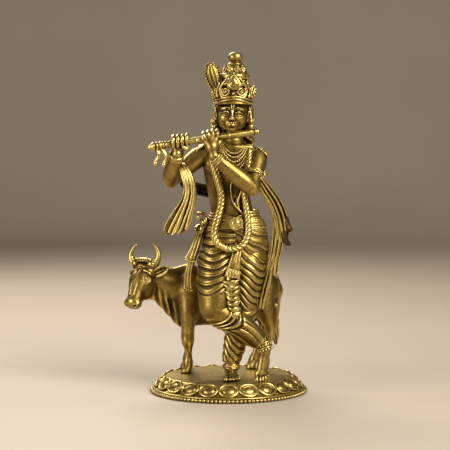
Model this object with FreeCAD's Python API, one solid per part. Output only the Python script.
"""Brass statuette: a flute-playing deity with crossed legs stands before a cow on a round lotus plinth.

Units are millimetres. +Z is up and the origin is the centre of the plinth's underside. The figure faces -Y,
so its own right side is at -X. Every piece is one casting or a group of identical ones. A piece that is set
into another is cut to it, so the two meet face to face where the real ones are brazed or screwed.
"""
import FreeCAD
import Part

import math
import os

V = FreeCAD.Vector
Z_AXIS = V(0, 0, 1)

# ---------------------------------------------------------------- driving dimensions
TOTAL_HEIGHT = 250.0
PLINTH_TOP = 12.0
PLINTH_WALL = 2.6
RIM_RADIUS = 57.0
RIM_HEIGHT = 3.6
PLATEAU_RADIUS = 47.0
BEAD_RADIUS = 1.35
BEAD_COUNT = 120
PETAL_COUNT = 22
SCREW_RADIUS = 1.5
SCREW_CLEARANCE = 0.15
SCREW_HEAD_RADIUS = 2.8
SCREW_HEAD_HEIGHT = 1.8
SCREW_BITE = 5.0

# Joints of the figure's limbs. "right" and "left" are the figure's own sides.
RIGHT_SHOULDER = V(-19.5, -13.0, 175.5)
RIGHT_ELBOW = V(-42.0, -17.0, 157.0)
RIGHT_WRIST = V(-36.8, -37.0, 176.5)
LEFT_SHOULDER = V(21.5, -14.0, 174.5)
LEFT_ELBOW = V(16.5, -34.0, 152.0)
LEFT_WRIST = V(-10.5, -39.5, 175.0)
RIGHT_HIP = V(-6.5, -14.0, 110.0)
RIGHT_KNEE = V(-9.5, -26.5, 65.0)
RIGHT_ANKLE = V(26.5, -24.0, 37.0)
LEFT_HIP = V(16.5, -13.0, 110.0)
LEFT_KNEE = V(11.5, -15.0, 66.0)
LEFT_ANKLE = V(2.0, -14.5, 25.0)

# The flute, its mouth end first.
FLUTE_MOUTH = V(21.5, -28.5, 192.3)
FLUTE_TIP = V(-57.5, -41.0, 181.0)
FLUTE_RADIUS = 2.4
FINGER_PITCH = 3.3

HEAD_CENTRE = V(2.6, -13.0, 205.0)
CROWN_CENTRE = V(3.4, -12.5, 0.0)
CROWN_BASE = 212.0

# The cow stands behind the figure and turns its head towards the front.
COW_DEPTH = 21.0
COW_POLL = V(-62.5, 13.5, 90.5)
COW_MUZZLE = V(-72.0, -2.5, 64.0)

NODES = {}


# ---------------------------------------------------------------- shape helpers
def ring(centre, normal, radius_a, radius_b=None, toward=None):
    """A closed elliptical wire about a centre. radius_a lies along toward, and radius_b across it."""
    radius_b = radius_a if radius_b is None else radius_b
    normal = V(normal).normalize()
    toward = V(toward) if toward is not None else (V(1, 0, 0) if abs(normal.x) < 0.8 else V(0, 1, 0))
    axis_a = (toward - normal * toward.dot(normal)).normalize()
    axis_b = normal.cross(axis_a)
    if radius_b > radius_a:
        radius_a, radius_b, axis_a = radius_b, radius_a, axis_b
    if abs(radius_a - radius_b) < 1e-6:
        edge = Part.Circle(centre, normal, radius_a).toShape()
    else:
        turned = FreeCAD.Placement(centre, FreeCAD.Rotation(axis_a, normal.cross(axis_a), normal, "ZXY"))
        edge = Part.Ellipse(V(0, 0, 0), radius_a, radius_b).toShape()
        edge.Placement = turned
    return Part.Wire([edge])


def tangents(points):
    """The direction of a route at each of its points."""
    last = len(points) - 1
    return [(points[min(i + 1, last)] - points[max(i - 1, 0)]).normalize() for i in range(len(points))]


def limb(points, radii, toward=None):
    """A closed solid lofted along points. A radius is one number, or (along toward, across toward)."""
    wires = []
    for point, along, radius in zip(points, tangents(points), radii):
        a, b = radius if isinstance(radius, tuple) else (radius, radius)
        wires.append(ring(point, along, a, b, toward))
    return Part.makeLoft(wires, True, False)


def stack(levels):
    """A solid lofted through level sections, each (z, centre x, centre y, half width, half depth)."""
    return Part.makeLoft([ring(V(x, y, z), Z_AXIS, a, b, V(1, 0, 0)) for z, x, y, a, b in levels], True, False)


def ellipsoid(centre, half_sizes, turn=None):
    """An ellipsoid with half sizes along X, Y and Z, turned by a rotation and moved to a centre."""
    scale = FreeCAD.Matrix()
    scale.scale(*half_sizes)
    solid = Part.makeSphere(1.0).transformGeometry(scale)
    solid.Placement = FreeCAD.Placement(V(centre), turn or FreeCAD.Rotation())
    return solid


def turned(profile, centre=V(0, 0, 0)):
    """A solid of revolution about the vertical through centre, from (radius, height) points."""
    points = [V(r, 0, z) for r, z in profile]
    face = Part.Face(Part.makePolygon(points + points[:1]))
    solid = face.revolve(V(0, 0, 0), Z_AXIS, 360)
    solid.translate(V(centre.x, centre.y, 0))
    return solid


def torus(centre, axis, ring_radius, wire_radius):
    return Part.makeTorus(ring_radius, wire_radius, V(centre), V(axis))


def between(a, b, share):
    return a + (b - a) * share


def stretch(a, b, sizes):
    """A straight limb between two joints, from (share of the way, radius) pairs."""
    return limb([between(a, b, share) for share, _ in sizes], [radius for _, radius in sizes])


def joined(shapes):
    """The shapes fused into one body."""
    whole = shapes[0]
    for shape in shapes[1:]:
        whole = whole.fuse(shape)
    return whole


def place(name, shape, group=False, cut=True):
    """Keeps a piece, cut back from every piece placed before it. Crumbs that a cut leaves are dropped."""
    for other in NODES.values() if cut else ():
        if shape.BoundBox.intersect(other.BoundBox):
            shape = shape.cut(other)
    solids = sorted(shape.Solids, key=lambda s: -s.Volume)
    if not group:
        solids = solids[:1]
    smallest = 0.2 * solids[0].Volume
    solids = [s for s in solids if s.Volume > smallest]
    NODES[name] = solids[0] if len(solids) == 1 else Part.makeCompound(solids)


# ---------------------------------------------------------------- plinth
SCREW_PLACES = [V(2.0, -19.0, 0), V(-31.0, 10.0, 0), V(-33.5, 31.0, 0), V(27.5, 11.5, 0), V(18.5, 30.0, 0)]


def base_screws():
    """Pan-head screws that come up through the plinth's plate into the standing foot and the four hooves."""
    under_plate = PLINTH_TOP - PLINTH_WALL
    screws = []
    for spot in SCREW_PLACES:
        shank = Part.makeCylinder(SCREW_RADIUS, PLINTH_WALL + SCREW_BITE, spot + Z_AXIS * under_plate)
        seat = spot + Z_AXIS * (under_plate - SCREW_HEAD_HEIGHT)
        head = Part.makeCylinder(SCREW_HEAD_RADIUS, SCREW_HEAD_HEIGHT, seat)
        slot = Part.makeBox(2 * SCREW_HEAD_RADIUS, 0.7, 0.8)
        slot.translate(spot + V(-SCREW_HEAD_RADIUS, -0.35, under_plate - SCREW_HEAD_HEIGHT))
        screws.append(shank.fuse(head).cut(slot))
    return Part.makeCompound(screws)


def plinth():
    """A cast shell: a plateau, a flange that slopes down to the rim, and a hollow underside."""
    slope_foot = RIM_RADIUS - 1.6
    shell = turned([
        (0, PLINTH_TOP), (PLATEAU_RADIUS - 2, PLINTH_TOP), (PLATEAU_RADIUS, PLINTH_TOP - 0.6),
        (slope_foot, RIM_HEIGHT + 0.6), (RIM_RADIUS, RIM_HEIGHT), (RIM_RADIUS, RIM_HEIGHT - 0.6),
        (RIM_RADIUS - 1.0, RIM_HEIGHT - 0.9), (RIM_RADIUS - 1.0, 0), (RIM_RADIUS - 5.0, 0),
        (RIM_RADIUS - 5.0, 1.5), (PLATEAU_RADIUS - 3, PLINTH_TOP - PLINTH_WALL), (0, PLINTH_TOP - PLINTH_WALL),
    ])
    for spot in SCREW_PLACES:
        hole = Part.makeCylinder(SCREW_RADIUS + SCREW_CLEARANCE, 2 * PLINTH_TOP, spot)
        shell = shell.cut(hole)
    return shell


def around(shape, count, start=0.0):
    """Equal copies of a shape, spaced evenly round the plinth's axis. Start is a share of one step."""
    copies = []
    for i in range(count):
        copy = shape.copy()
        copy.rotate(V(0, 0, 0), Z_AXIS, 360.0 * (i + start) / count)
        copies.append(copy)
    return Part.makeCompound(copies)


def lotus_petals():
    """Low oval bosses round the sloping flange, each cut to lie on it."""
    fall = math.degrees(math.atan2(PLINTH_TOP - RIM_HEIGHT - 1.2, RIM_RADIUS - 1.6 - PLATEAU_RADIUS))
    middle = V((PLATEAU_RADIUS + RIM_RADIUS) / 2 - 0.6, 0, (PLINTH_TOP + RIM_HEIGHT) / 2 - 0.3)
    boss = ellipsoid(middle, (5.4, 6.3, 1.9), FreeCAD.Rotation(V(0, 1, 0), fall)).cut(NODES["plinth"])
    return around(boss, PETAL_COUNT, start=0.5)


def rim_beads():
    """A row of beads let into the rim's groove."""
    bead = Part.makeSphere(BEAD_RADIUS, V(RIM_RADIUS - 0.1, 0, BEAD_RADIUS + 0.1)).cut(NODES["plinth"])
    return around(bead, BEAD_COUNT)


# ---------------------------------------------------------------- cow
def cow_body():
    """The barrel, from the brisket to the rump, with the hump over the shoulders."""
    sections = [
        (-41, 63, 6.0, 11.0), (-36, 65.5, 10.5, 18.5), (-29, 68, 12.5, 23.0), (-17, 66.5, 13.5, 20.5),
        (-2, 65, 14.5, 20.0), (13, 66.5, 14.0, 19.5), (25, 69.5, 13.0, 19.3), (33, 70.5, 10.5, 16.0),
        (38, 71, 5.5, 9.5),
    ]
    wires = [ring(V(x, COW_DEPTH, z), V(1, 0, 0), rz, ry, Z_AXIS) for x, z, ry, rz in sections]
    return Part.makeLoft(wires, True, False)


def cow_leg(route, radii):
    """One leg with its hoof, flat where it stands on the plateau."""
    floor = Part.makeBox(60, 60, PLINTH_TOP, V(route[-1].x - 30, route[-1].y - 30, 0))
    return limb(route, radii).cut(floor)


def cow_forelegs():
    """The near foreleg, and the far one a little ahead of it."""
    near = [V(-31, 13, 70), V(-30.5, 10.5, 58), V(-30.3, 10, 46), V(-30.2, 10, 33), V(-30.6, 10, 22),
            V(-31.6, 9.6, 17), V(-32.4, 9, 11.5)]
    radii = [(8.5, 6), (8, 6), 5.4, 4.0, 3.2, 4.1, 5.3]
    far = [V(p.x - 2.5, 41.5 - p.y, p.z) for p in near]
    return cow_leg(near, radii), cow_leg(far, radii)


def cow_hindlegs():
    """The near hind leg, and the far one a step ahead of it."""
    near = [V(27, 13, 74), V(28, 11, 62), V(30, 11, 52), V(31, 11.5, 44), V(29, 12, 33), V(28, 12, 21),
            V(27.3, 11.5, 17), V(26.6, 11, 11.5)]
    radii = [(11, 6), (10, 6), 6.4, 4.4, 3.2, 3.1, 4.0, 5.1]
    far = [V(p.x - 8.5 + 0.18 * (p.z - 40), 30.5 - 0.5 * (p.y - 11), p.z) for p in near]
    return cow_leg(near, radii), cow_leg(far, radii)


def cow_neck():
    """The neck, with the dewlap hanging below it as a thin deep keel."""
    nape = [V(-31, 20.5, 70), V(-40, 19, 75), V(-50, 16.8, 81), V(-58, 15.2, 84), V(-61.5, 14.6, 84.5)]
    neck = limb(nape, [(17, 10), (15.5, 9), (12, 7.6), (8.5, 6.4), (5, 4)], V(0.4, 0, 1))
    throat = [V(-33, 20, 55), V(-40, 19, 58), V(-48, 17.5, 63), V(-56, 15.6, 69), V(-60.5, 14.6, 73)]
    dewlap = limb(throat, [(12.5, 4.2), (13.5, 4.0), (11, 3.4), (6.5, 2.6), (2.5, 1.6)], V(0.4, 0, 1))
    return neck.fuse(dewlap)


def cow_head():
    """The skull narrows to the muzzle, and is deeper than it is wide at the cheek."""
    across = (COW_MUZZLE - COW_POLL).cross(Z_AXIS).normalize()
    shares = [-0.14, -0.06, 0.1, 0.3, 0.5, 0.75, 0.92, 1.05, 1.12]
    radii = [(3.5, 3.0), (6.5, 5.5), (9.4, 9.0), (9.6, 10.4), (8.4, 9.4), (6.3, 6.6), (6.2, 5.4), (4.4, 3.8),
             (2.0, 1.6)]
    return limb([between(COW_POLL, COW_MUZZLE, s) for s in shares], radii, across)


def cow_horns():
    left = [V(-68.5, 16.5, 92), V(-72, 17.5, 95.5), V(-73.2, 17.8, 99.5), V(-71.8, 17.5, 104), V(-68.6, 17, 107.6)]
    right = [V(-57, 10, 92), V(-53, 9.6, 96), V(-52.2, 9.6, 101), V(-53.6, 9.8, 105), V(-56.4, 10, 109)]
    radii = [3.3, 2.9, 2.3, 1.6, 0.6]
    return limb(left, radii), limb(right, radii)


def cow_ears():
    sizes = [(1.8, 1.2), (3.3, 1.4), (2.8, 1.3), (0.8, 0.5)]
    near = limb([V(-56, 9, 86), V(-51.5, 6.6, 88), V(-48.2, 5.8, 89.8), V(-45, 5.6, 91.6)], sizes, Z_AXIS)
    far = limb([V(-68, 18.5, 86), V(-68.5, 23, 87.2), V(-68.3, 26.4, 88), V(-68, 29.4, 88.6)], sizes, Z_AXIS)
    return Part.makeCompound([near, far])


def cow_tail():
    route = [V(33, 22, 87.5), V(37.5, 22.5, 84), V(39.8, 23, 74), V(38.5, 23.5, 62), V(36, 24, 50),
             V(35.5, 24, 40), V(36, 24, 32)]
    return limb(route, [1.8, 1.8, 1.6, 1.5, 1.6, 2.6, 0.9])


# ---------------------------------------------------------------- figure's body
def torso():
    """Narrow waist, broad chest, sloping shoulders and the neck, which leans to the figure's left."""
    body = stack([
        (127, 4.0, -13.5, 17.0, 10.5), (138, 1.8, -13.5, 15.2, 9.3), (148, 0.3, -13.5, 15.5, 9.5),
        (158, 0.0, -13.5, 17.5, 10.3), (168, 0.3, -13.5, 19.5, 10.8), (175, 0.8, -13.5, 19.5, 9.8),
        (181, 2.2, -13.5, 13.5, 7.8), (185, 3.8, -13.2, 7.0, 6.2),
    ])
    neck = stack([(180, 3.6, -13.2, 6.4, 6.2), (188, 4.2, -13.0, 5.6, 5.6), (195, 3.6, -12.5, 5.8, 5.8)])
    return body.fuse(neck)


def head():
    """The head, tilted a little to the figure's left, with the hair line under the crown."""
    tilt = FreeCAD.Rotation(V(0, 1, 0), 3)
    skull = ellipsoid(HEAD_CENTRE + V(0.3, 1.0, 2.0), (11.8, 12.2, 12.2), tilt)
    jaw = ellipsoid(HEAD_CENTRE + V(-0.4, -3.5, -4.5), (8.6, 8.4, 8.2), tilt)
    nose = limb([V(2.4, -24.2, 207.5), V(2.2, -26.0, 202.5), V(2.1, -25.2, 200.5)], [1.0, 1.7, 1.5])
    return joined([skull, jaw, nose])


def hair():
    """Long hair that passes behind the ears and lies on the upper back."""
    roll = ellipsoid(V(3.2, -3.5, 199.0), (12.4, 7.0, 13.0))
    fall = ellipsoid(V(3.6, -2.6, 184.0), (13.0, 4.6, 15.0))
    return roll.fuse(fall)


def earrings():
    drops = []
    for x in (-10.6, 15.8):
        stud = Part.makeSphere(1.7, V(x, -14.5, 199.2))
        drop = Part.makeSphere(1.9, V(x, -14.8, 195.9))
        drops.append(stud.fuse(drop))
    return Part.makeCompound(drops)


def arms():
    """Upper arms and forearms of both sides, each a tapering casting."""
    made = {}
    for side, shoulder, elbow, wrist in (
        ("right", RIGHT_SHOULDER, RIGHT_ELBOW, RIGHT_WRIST),
        ("left", LEFT_SHOULDER, LEFT_ELBOW, LEFT_WRIST),
    ):
        upper = stretch(shoulder, elbow, [(-0.12, 4.5), (0.1, 7.3), (0.45, 6.9), (0.8, 6.3), (1.0, 6.1)])
        bend = Part.makeSphere(6.2, elbow)
        lower = stretch(elbow, wrist, [(0.0, 6.1), (0.3, 6.7), (0.6, 5.6), (0.85, 4.4), (1.0, 4.0)])
        made[side + "_upper_arm"] = joined([upper, bend])
        made[side + "_forearm"] = lower
    return made


def flute_point(x):
    """The point on the flute's axis at a given X."""
    return between(FLUTE_MOUTH, FLUTE_TIP, (FLUTE_MOUTH.x - x) / (FLUTE_MOUTH.x - FLUTE_TIP.x))


def hand(wrist, grip_x, palm_side):
    """A hand on the flute: four fingers curl over its top, and the thumb closes below it.

    palm_side is 1 with the palm behind the flute and -1 with the palm in front of it.
    """
    grip = flute_point(grip_x)
    shaft = (FLUTE_TIP - FLUTE_MOUTH).normalize()
    knuckles = grip + V(0, 3.4 * palm_side, 1.0)
    heel = between(wrist, knuckles, 0.45)
    palm = limb([wrist, heel, knuckles], [4.0, (5.0, 3.6), (6.4, 2.7)], shaft)
    parts = [palm]
    for i in range(4):
        root = grip + shaft * (FINGER_PITCH * (i - 1.5))
        bends = [(4.4, 0.6), (2.4, 4.6), (-2.2, 4.7), (-4.8, 1.0), (-3.4, -2.4)]
        route = [root + V(0, y * palm_side, z) for y, z in bends]
        parts.append(limb(route, [1.7, 1.75, 1.7, 1.6, 1.3]))
    base = heel - shaft * 2.8
    thumb = [base, grip + V(4.6, -1.4 * palm_side, -5.6), grip + V(2.6, -4.0 * palm_side, -3.6)]
    parts.append(limb(thumb, [2.4, 2.0, 1.4]))
    return joined(parts)


def flute():
    """A cane flute with turned rings and a pointed stop at its far end."""
    shaft = (FLUTE_TIP - FLUTE_MOUTH).normalize()
    bar = Part.makeCylinder(FLUTE_RADIUS, (FLUTE_TIP - FLUTE_MOUTH).Length - 4, FLUTE_MOUTH, shaft)
    cone = Part.makeCone(FLUTE_RADIUS + 0.5, 1.2, 4.0, FLUTE_TIP - shaft * 4, shaft)
    rings = [torus(FLUTE_TIP - shaft * step, shaft, FLUTE_RADIUS, 0.6) for step in (5.0, 7.2, 9.4, 11.6)]
    mouth = Part.makeCone(1.0, FLUTE_RADIUS, 1.5, FLUTE_MOUTH - shaft * 1.5, shaft)
    return joined([bar, cone, mouth] + rings)


def flute_tassels():
    """Two short cords with drop ends that hang from the far end of the flute."""
    tassels = []
    for x, sway in ((-51.0, -1.4), (-48.4, 1.8)):
        top = flute_point(x) - Z_AXIS * (FLUTE_RADIUS + 0.2)
        falls = [(0.0, 0.0, 0.0), (0.6, 0.2, -3.0), (0.3, 0.4, -6.4), (1.0, 0.4, -9.6), (1.3, 0.2, -12.0)]
        route = [top + V(sway * share, y, z) for share, y, z in falls]
        tassels.append(limb(route, [0.9, 1.0, 1.3, 2.1, 1.2]))
    return Part.makeCompound(tassels)


# ---------------------------------------------------------------- crown
def crown_pieces():
    """The crown is a stack: a flared band, a lobed dome, a ball finial, and a jewel on the front."""
    x, y = CROWN_CENTRE.x, CROWN_CENTRE.y
    band = turned([
        (0, CROWN_BASE), (14.6, CROWN_BASE), (15.6, CROWN_BASE + 2), (15.6, CROWN_BASE + 6),
        (15.0, CROWN_BASE + 12), (12.6, CROWN_BASE + 13.5), (0, CROWN_BASE + 13.5),
    ], CROWN_CENTRE)
    low = CROWN_BASE + 13.5
    dome = turned([
        (0, low), (11.0, low), (10.0, low + 2.5), (10.8, low + 5), (10.8, low + 7.5), (8.8, low + 9.5),
        (8.5, low + 11.5), (7.0, low + 14), (6.3, low + 15.5), (0, low + 15.5),
    ], V(x + 0.9, y, 0))
    neck = low + 15.5
    finial = turned([
        (0, neck), (6.3, neck), (6.0, neck + 1.4), (4.3, neck + 2.3), (5.0, neck + 3.8), (5.3, neck + 5.4),
        (4.7, neck + 7.2), (3.0, TOTAL_HEIGHT - 0.6), (1.2, TOTAL_HEIGHT), (0, TOTAL_HEIGHT),
    ], V(x + 1.6, y, 0))
    jewel = ellipsoid(V(x + 0.4, y - 15.2, 224.5), (5.2, 2.6, 7.0), FreeCAD.Rotation(V(1, 0, 0), -10))
    return band, dome, finial, jewel


def peacock_feather():
    """A thick leaf-shaped plume that stands up from the side of the crown."""
    quill = [(-8.2, 221), (-9.8, 227), (-11.2, 232), (-12.3, 237), (-13.2, 241.5)]
    route = [V(x, -15.8, z) for x, z in quill]
    return limb(route, [(2.4, 1.8), (4.8, 2.2), (6.0, 2.3), (5.2, 1.9), (1.8, 1.0)], V(1, 0, 0))


# ---------------------------------------------------------------- dress
def dhoti():
    """The wrapped cloth: the hips, and a thigh and a shin on each side."""
    hips = stack([
        (96, 4.5, -13.5, 25.0, 14.0), (108, 5.0, -13.5, 24.8, 14.5), (118, 5.0, -13.5, 23.6, 13.6),
        (126, 4.8, -13.5, 20.5, 12.5),
    ])
    right_thigh = stretch(RIGHT_HIP, RIGHT_KNEE, [
        (0.25, (15, 14)), (0.5, (14.8, 13.5)), (0.8, (13.6, 12.5)), (1.0, (11.8, 11.0)), (1.18, (6, 5)),
    ])
    left_thigh = stretch(LEFT_HIP, LEFT_KNEE, [
        (0.25, (13.5, 13)), (0.5, (12.6, 12)), (0.8, (11.0, 10.5)), (1.05, (9.0, 9.0)),
    ])
    right_shin = stretch(RIGHT_KNEE, RIGHT_ANKLE, [(0.0, 9.5), (0.3, 9.0), (0.6, 7.6), (0.88, 5.8)])
    left_shin = stretch(LEFT_KNEE, LEFT_ANKLE, [(0.0, 9.5), (0.35, 9.2), (0.7, 8.0), (0.93, 6.0)])
    return hips, right_thigh, left_thigh, right_shin, left_shin


def left_foot():
    """The standing foot, flat on the plateau, toes to the front."""
    x = LEFT_ANKLE.x
    floor = Part.makeBox(60, 60, PLINTH_TOP, V(x - 30, -50, 0))
    sole = [(-6.5, 15.0), (-10.0, 15.5), (-17.0, 16.5), (-25.0, 15.2), (-31.0, 14.0), (-34.5, 13.4)]
    route = [V(x, y, z) for y, z in sole]
    sizes = [(2.4, 2.4), (4.4, 4.2), (5.0, 5.0), (6.0, 4.0), (6.3, 2.8), (5.0, 1.4)]
    foot = limb(route, sizes, V(1, 0, 0))
    ankle = limb([LEFT_ANKLE + V(0, 0, 5), LEFT_ANKLE, V(x, -14.0, 16)], [4.4, 4.5, 5.2])
    return foot.fuse(ankle).cut(floor)


def right_foot():
    """The crossed foot, which stands on its toes."""
    floor = Part.makeBox(60, 60, PLINTH_TOP, V(-8, -60, 0))
    shin_end = V(25, -24, 40)
    bones = [shin_end, RIGHT_ANKLE, V(26.4, -23.6, 30), V(24.6, -26, 22), V(23.2, -28, 16), V(22.4, -31, 12.6)]
    sizes = [4.4, 4.3, (4.0, 4.4), (4.2, 4.0), (4.5, 3.4), (4.0, 2.0)]
    return limb(bones, sizes, V(1, 0, 0)).cut(floor)


def bands():
    """Bracelets, armlets and anklets: round bands slipped over the limbs."""
    made = {}
    for side, elbow, wrist in (("right", RIGHT_ELBOW, RIGHT_WRIST), ("left", LEFT_ELBOW, LEFT_WRIST)):
        along = wrist - elbow
        made[side + "_bracelet"] = torus(between(elbow, wrist, 0.92), along, 4.8, 1.3)
    for side, shoulder, elbow in (("right", RIGHT_SHOULDER, RIGHT_ELBOW), ("left", LEFT_SHOULDER, LEFT_ELBOW)):
        made[side + "_armlet"] = torus(between(shoulder, elbow, 0.6), elbow - shoulder, 6.9, 1.3)
    made["right_anklet"] = torus(RIGHT_ANKLE + V(-0.5, 0, 0.5), V(-0.5, 0, 1), 4.8, 1.6)
    made["left_anklet"] = torus(LEFT_ANKLE - Z_AXIS * 1.5, Z_AXIS, 4.9, 1.3)
    return made


def shoulder_ornaments():
    left = ellipsoid(V(25.0, -14.5, 177.5), (4.6, 6.0, 3.0), FreeCAD.Rotation(V(0, 1, 0), 35))
    right = ellipsoid(V(-20.5, -13.5, 180.0), (4.6, 6.0, 3.0), FreeCAD.Rotation(V(0, 1, 0), -35))
    return Part.makeCompound([left, right])


def necklaces():
    """A choker round the neck, and a broad beaded collar that lies on the chest."""
    choker = torus(V(4.0, -14.5, 184.5), V(0.1, -0.45, 1), 8.0, 0.9)
    drape = [
        V(-8, -21.5, 181), V(-5, -24.5, 173.5), V(4, -25.5, 168.5), V(12.5, -24.5, 173.5), V(15, -21.5, 180.5),
    ]
    collar = limb(drape, [(1.4, 1.2), (3.4, 1.5), (4.6, 1.7), (3.4, 1.5), (1.4, 1.2)], Z_AXIS)
    return choker, collar


def garland():
    """A twisted rope that hangs from the shoulders to below the waist and passes under the left forearm."""
    route = [
        V(-13, -19, 181), V(-11.5, -24.5, 170), V(-6.5, -25.5, 156), V(-4.5, -25.0, 143), V(-7.5, -27.5, 131),
        V(-10.0, -30.0, 121), V(-7.0, -32.0, 112.5), V(2.0, -33.0, 109.0), V(10.5, -32.0, 112.0),
        V(14.0, -29.5, 121), V(13.2, -26.0, 133), V(11.5, -25.5, 146), V(12.5, -26.0, 160), V(14.5, -24.5, 172),
        V(15.5, -19.0, 180.5),
    ]
    return limb(route, [2.0] * len(route))


def waist():
    """The belt, its round clasp, the bow at the right hip and the two tails that hang from it."""
    belt = stack([
        (121.5, 4.9, -13.5, 23.0, 14.2), (125, 4.8, -13.5, 22.2, 14.0), (130, 4.0, -13.5, 19.6, 12.6),
        (133, 3.0, -13.5, 17.0, 10.6),
    ])
    clasp = ellipsoid(V(5.2, -30.0, 126.0), (5.2, 2.4, 5.2))
    knot = [
        ellipsoid(V(-19.5, -16.5, 130.0), (4.2, 3.0, 3.4), FreeCAD.Rotation(V(0, 1, 0), 25)),
        ellipsoid(V(-20.5, -16.5, 122.5), (3.6, 3.0, 3.8)),
        Part.makeSphere(3.2, V(-18.5, -16.5, 126.5)),
    ]
    cloth_side = V(1, 0, 0.3)
    upper_tail = limb(
        [V(-20, -16, 120), V(-24, -17, 110), V(-28, -16, 100)],
        [(1.8, 1.2), (3.0, 1.4), (3.6, 1.8)], cloth_side)
    lower_tail = limb(
        [V(-25.5, -13, 103), V(-28.5, -12, 92), V(-28.5, -11, 82), V(-25.5, -11, 72)],
        [(1.6, 1.2), (2.6, 1.4), (2.8, 1.4), (1.8, 1.0)], cloth_side)
    return belt, clasp, joined(knot), Part.makeCompound([upper_tail, lower_tail])


def front_pleat():
    """The gathered end of the cloth that hangs between the thighs."""
    fall = [(6.8, -30, 109), (4.8, -33, 100), (2.5, -35, 90), (0.8, -36, 78), (2, -36, 68), (4.2, -34.5, 61)]
    route = [V(*point) for point in fall]
    return limb(route, [(2.6, 1.4), (3.6, 1.6), (4.6, 1.9), (5.2, 2.2), (4.6, 1.9), (1.6, 0.9)], V(1, 0, 0))


def scarves():
    """A long scarf: it passes behind the back, and an end falls over each arm."""
    right = limb(
        [V(-35.5, -27, 171), V(-32.5, -31.5, 161), V(-29.5, -32, 150), V(-32.0, -31, 138), V(-36.5, -30.5, 127),
         V(-40.5, -30, 118.5)],
        [(2.2, 1.2), (3.6, 1.6), (4.4, 1.8), (5.6, 2.0), (7.0, 2.2), (4.6, 1.6)], V(1, 0, 0))
    behind = limb(
        [V(-34.0, -11.5, 156), V(-22.0, 2.5, 150), V(-6.0, 6.5, 147), V(8.0, 4.0, 148), V(20.0, -6.0, 151),
         V(26.0, -15.0, 154)],
        [(4.4, 1.6)] * 6, Z_AXIS)
    left = limb(
        [V(22.0, -30, 158), V(26.0, -27, 150), V(33.0, -22, 141), V(36.8, -18.5, 131), V(37.5, -16.5, 120),
         V(37.0, -15, 110), V(34.5, -13.5, 99), V(31.0, -12.5, 88), V(27.0, -12, 76), V(23.5, -11.5, 65)],
        [(3.0, 1.4), (3.8, 1.6), (4.2, 1.7), (4.6, 1.8), (5.2, 2.0), (4.4, 1.8), (3.8, 1.7), (3.6, 1.6),
         (3.0, 1.4), (1.6, 0.9)],
        V(1, 0, 0.2))
    return right, behind, left


# ---------------------------------------------------------------- assembly, in the order that pieces are fitted
def build():
    place("plinth", plinth())
    place("base_screws", base_screws(), group=True, cut=False)
    place("lotus_petals", lotus_petals(), group=True, cut=False)
    place("rim_beads", rim_beads(), group=True, cut=False)

    place("torso", torso())
    place("head", head())
    band, dome, finial, jewel = crown_pieces()
    place("crown_band", band)
    place("crown_dome", dome)
    place("crown_finial", finial)
    place("crown_jewel", jewel)
    place("peacock_feather", peacock_feather())
    place("hair", hair())
    place("earrings", earrings(), group=True)

    place("flute", flute())
    place("flute_tassels", flute_tassels(), group=True)
    for name, shape in arms().items():
        place(name, shape)
    place("right_hand", hand(RIGHT_WRIST, -34.5, 1))
    place("left_hand", hand(LEFT_WRIST + Z_AXIS * 0.4, -13.0, -1))

    hips, right_thigh, left_thigh, right_shin, left_shin = dhoti()
    place("dhoti_hips", hips)
    place("dhoti_right_thigh", right_thigh)
    place("dhoti_right_shin", right_shin)
    place("dhoti_left_thigh", left_thigh)
    place("dhoti_left_shin", left_shin)
    place("left_foot", left_foot())
    place("right_foot", right_foot())

    belt, clasp, bow, tails = waist()
    place("waist_belt", belt)
    place("belt_clasp", clasp)
    place("hip_bow", bow)
    choker, collar = necklaces()
    place("choker", choker)
    place("chest_collar", collar)
    place("garland", garland())
    place("front_pleat", front_pleat())
    for name, shape in bands().items():
        place(name, shape)
    place("shoulder_ornaments", shoulder_ornaments(), group=True)

    place("cow_body", cow_body())
    fore_near, fore_far = cow_forelegs()
    hind_near, hind_far = cow_hindlegs()
    place("cow_foreleg_near", fore_near)
    place("cow_foreleg_far", fore_far)
    place("cow_hindleg_near", hind_near)
    place("cow_hindleg_far", hind_far)
    place("cow_head", cow_head())
    place("cow_neck", cow_neck())
    horn_left, horn_right = cow_horns()
    place("cow_horn_left", horn_left)
    place("cow_horn_right", horn_right)
    place("cow_ears", cow_ears(), group=True)
    place("cow_tail", cow_tail())

    place("hip_tails", tails, group=True)
    right, behind, left = scarves()
    place("scarf_right", right)
    place("scarf_behind", behind)
    place("scarf_left", left)


build()
os.makedirs("parts", exist_ok=True)
for node, shape in NODES.items():
    shape.exportStep(os.path.join("parts", node + ".step"))
